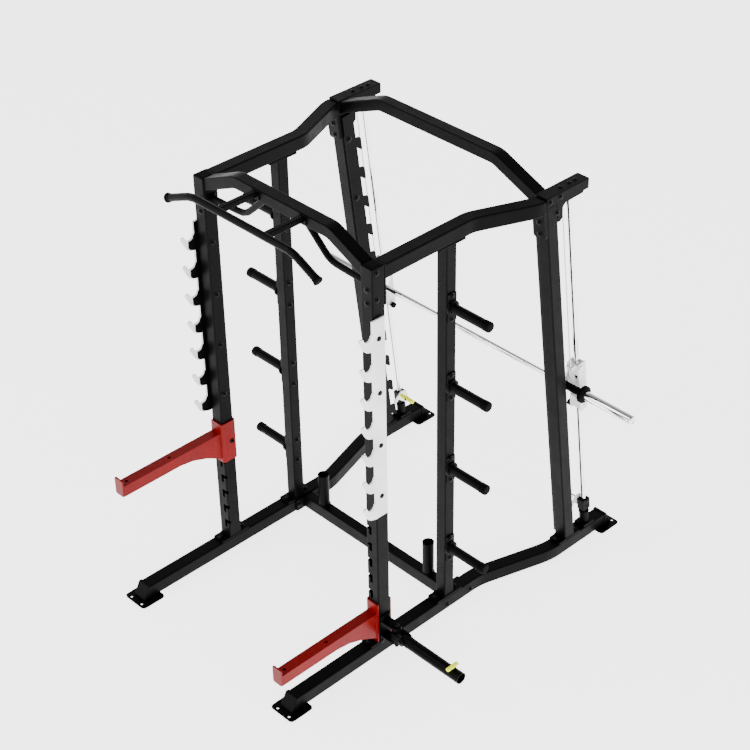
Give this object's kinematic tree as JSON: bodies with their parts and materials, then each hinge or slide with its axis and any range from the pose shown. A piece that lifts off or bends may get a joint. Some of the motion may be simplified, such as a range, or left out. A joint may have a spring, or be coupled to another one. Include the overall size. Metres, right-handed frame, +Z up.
{
  "type": "smith machine",
  "caption": "Free-standing smith machine and half rack: counterbalanced bar on leaning guide rods, bar hooks, spotter arms, plate pegs, pull-up bar and landmine.",
  "frame": {"origin": "middle of the footprint's bounding box, on the floor", "axes": "+X to the machine's right, +Y to its rear, +Z up; the spotter arms point to -Y"},
  "size_m": [2.234, 2.272, 2.36],
  "materials": {
    "black_paint": "satin black powder coat",
    "white_paint": "smooth white powder coat",
    "red_paint": "gloss red powder coat",
    "chrome": "polished hard chrome",
    "steel": "bright galvanised",
    "yellow_grip": "yellow-green vinyl grip",
    "cast_iron": "raw casting"
  },
  "bodies": {
    "frame": {"base_cross_member": "black_paint", "base_rail_left": "black_paint", "base_rail_right": "black_paint", "cable_left": "steel", "cable_right": "steel", "catch_plate_left": "black_paint", "catch_plate_right": "black_paint", "foot_front_left": "black_paint", "foot_front_right": "black_paint", "foot_rear_left": "black_paint", "foot_rear_right": "black_paint", "front_arch": "black_paint", "front_upright_left": "black_paint", "front_upright_right": "black_paint", "grip_left": "black_paint", "grip_right": "black_paint", "guide_rod_left": "chrome", "guide_rod_right": "chrome", "header_arm_left": "black_paint", "header_arm_right": "black_paint", "hook_plate_left": "white_paint", "hook_plate_right": "white_paint", "mid_upright_left": "black_paint", "mid_upright_right": "black_paint", "plate_peg_left_1": "black_paint", "plate_peg_left_2": "black_paint", "plate_peg_left_3": "black_paint", "plate_peg_left_4": "black_paint", "plate_peg_right_1": "black_paint", "plate_peg_right_2": "black_paint", "plate_peg_right_3": "black_paint", "plate_peg_right_4": "black_paint", "pull_up_bar": "black_paint", "rear_arch": "black_paint", "rear_upright_left": "black_paint", "rear_upright_right": "black_paint", "top_rail_left": "black_paint", "top_rail_right": "black_paint"},
    "bar_carriage": {"carriage_left": "white_paint", "carriage_right": "white_paint"},
    "barbell": {"barbell": "chrome", "bar_collar_left": "black_paint", "bar_collar_right": "black_paint", "bar_hook_left": "chrome", "bar_hook_right": "chrome"},
    "landmine_swivel": {"landmine_swivel": "black_paint"},
    "landmine_tube": {"landmine_tube": "black_paint"},
    "landmine_lever": {"landmine_lever": "yellow_grip"},
    "counterweight_left": {"counterweight_left": "cast_iron"},
    "pulley_rear_left": {"pulley_rear_left": "steel"},
    "pulley_front_left": {"pulley_front_left": "steel"},
    "spotter_arm_left": {"spotter_arm_left": "red_paint"},
    "safety_stop_left": {"safety_stop_left": "black_paint"},
    "safety_lever_left": {"safety_lever_left": "yellow_grip"},
    "counterweight_right": {"counterweight_right": "cast_iron"},
    "pulley_rear_right": {"pulley_rear_right": "steel"},
    "pulley_front_right": {"pulley_front_right": "steel"},
    "spotter_arm_right": {"spotter_arm_right": "red_paint"},
    "safety_stop_right": {"safety_stop_right": "black_paint"},
    "safety_lever_right": {"safety_lever_right": "chrome"}
  },
  "joints": [
    {"name": "carriage_slide", "type": "slide", "parent": "frame", "child": "bar_carriage", "axis": [0, -0.1219, 0.9925], "range_m": [-0.54, 0.9], "deforming": ["cable_left", "cable_right"]},
    {"name": "bar_turn", "type": "hinge", "parent": "bar_carriage", "child": "barbell", "pos_m": [-0.017, 0.7657, 1.04198], "axis": [1, 0, 0], "range_deg": [0, 35]},
    {"name": "landmine_turn", "type": "hinge", "parent": "frame", "child": "landmine_swivel", "pos_m": [0.675, -0.4665, 0.174], "axis": [0, 0, 1], "range_deg": [-75, 75]},
    {"name": "landmine_lift", "type": "hinge", "parent": "landmine_swivel", "child": "landmine_tube", "pos_m": [0.731, -0.4665, 0.174], "axis": [0, -1, 0], "range_deg": [0, 75]},
    {"name": "landmine_clamp", "type": "hinge", "parent": "landmine_tube", "child": "landmine_lever", "pos_m": [1.067, -0.4665, 0.22], "axis": [0, 0, 1], "range_deg": [-90, 90]},
    {"name": "spotter_height_left", "type": "slide", "parent": "frame", "child": "spotter_arm_left", "axis": [0, 0, 1], "range_m": [-0.5, 0]},
    {"name": "spotter_height_right", "type": "slide", "parent": "frame", "child": "spotter_arm_right", "axis": [0, 0, 1], "range_m": [0, 0.5]},
    {"name": "counterweight_slide_left", "type": "slide", "parent": "frame", "child": "counterweight_left", "axis": [0, -0.1219, 0.9925], "range_m": [-0.9, 0.54]},
    {"name": "pulley_rear_spin_left", "type": "hinge", "parent": "frame", "child": "pulley_rear_left", "pos_m": [-0.715, 0.59553, 2.208], "axis": [1, 0, 0], "continuous": true},
    {"name": "pulley_front_spin_left", "type": "hinge", "parent": "frame", "child": "pulley_front_left", "pos_m": [-0.715, 0.53321, 2.208], "axis": [1, 0, 0], "continuous": true},
    {"name": "safety_height_left", "type": "slide", "parent": "frame", "child": "safety_stop_left", "axis": [0, -0.1219, 0.9925], "range_m": [0, 0.56]},
    {"name": "safety_release_left", "type": "hinge", "parent": "safety_stop_left", "child": "safety_lever_left", "pos_m": [-0.677, 0.93574, 0.19872], "axis": [1, 0, 0], "range_deg": [-25, 0]},
    {"name": "counterweight_slide_right", "type": "slide", "parent": "frame", "child": "counterweight_right", "axis": [0, -0.1219, 0.9925], "range_m": [-0.9, 0.54]},
    {"name": "pulley_rear_spin_right", "type": "hinge", "parent": "frame", "child": "pulley_rear_right", "pos_m": [0.681, 0.59553, 2.208], "axis": [1, 0, 0], "continuous": true},
    {"name": "pulley_front_spin_right", "type": "hinge", "parent": "frame", "child": "pulley_front_right", "pos_m": [0.681, 0.53321, 2.208], "axis": [1, 0, 0], "continuous": true},
    {"name": "safety_height_right", "type": "slide", "parent": "frame", "child": "safety_stop_right", "axis": [0, -0.1219, 0.9925], "range_m": [0, 0.56]},
    {"name": "safety_release_right", "type": "hinge", "parent": "safety_stop_right", "child": "safety_lever_right", "pos_m": [0.643, 0.93574, 0.19872], "axis": [1, 0, 0], "range_deg": [-25, 0]}
  ],
  "couplings": [
    {"joint": "counterweight_slide_left", "follows": "carriage_slide", "ratio": -1},
    {"joint": "pulley_rear_spin_left", "follows": "carriage_slide", "rad_per_m": 37.037},
    {"joint": "pulley_front_spin_left", "follows": "carriage_slide", "rad_per_m": 37.037},
    {"joint": "counterweight_slide_right", "follows": "carriage_slide", "ratio": -1},
    {"joint": "pulley_rear_spin_right", "follows": "carriage_slide", "rad_per_m": 37.037},
    {"joint": "pulley_front_spin_right", "follows": "carriage_slide", "rad_per_m": 37.037}
  ]
}
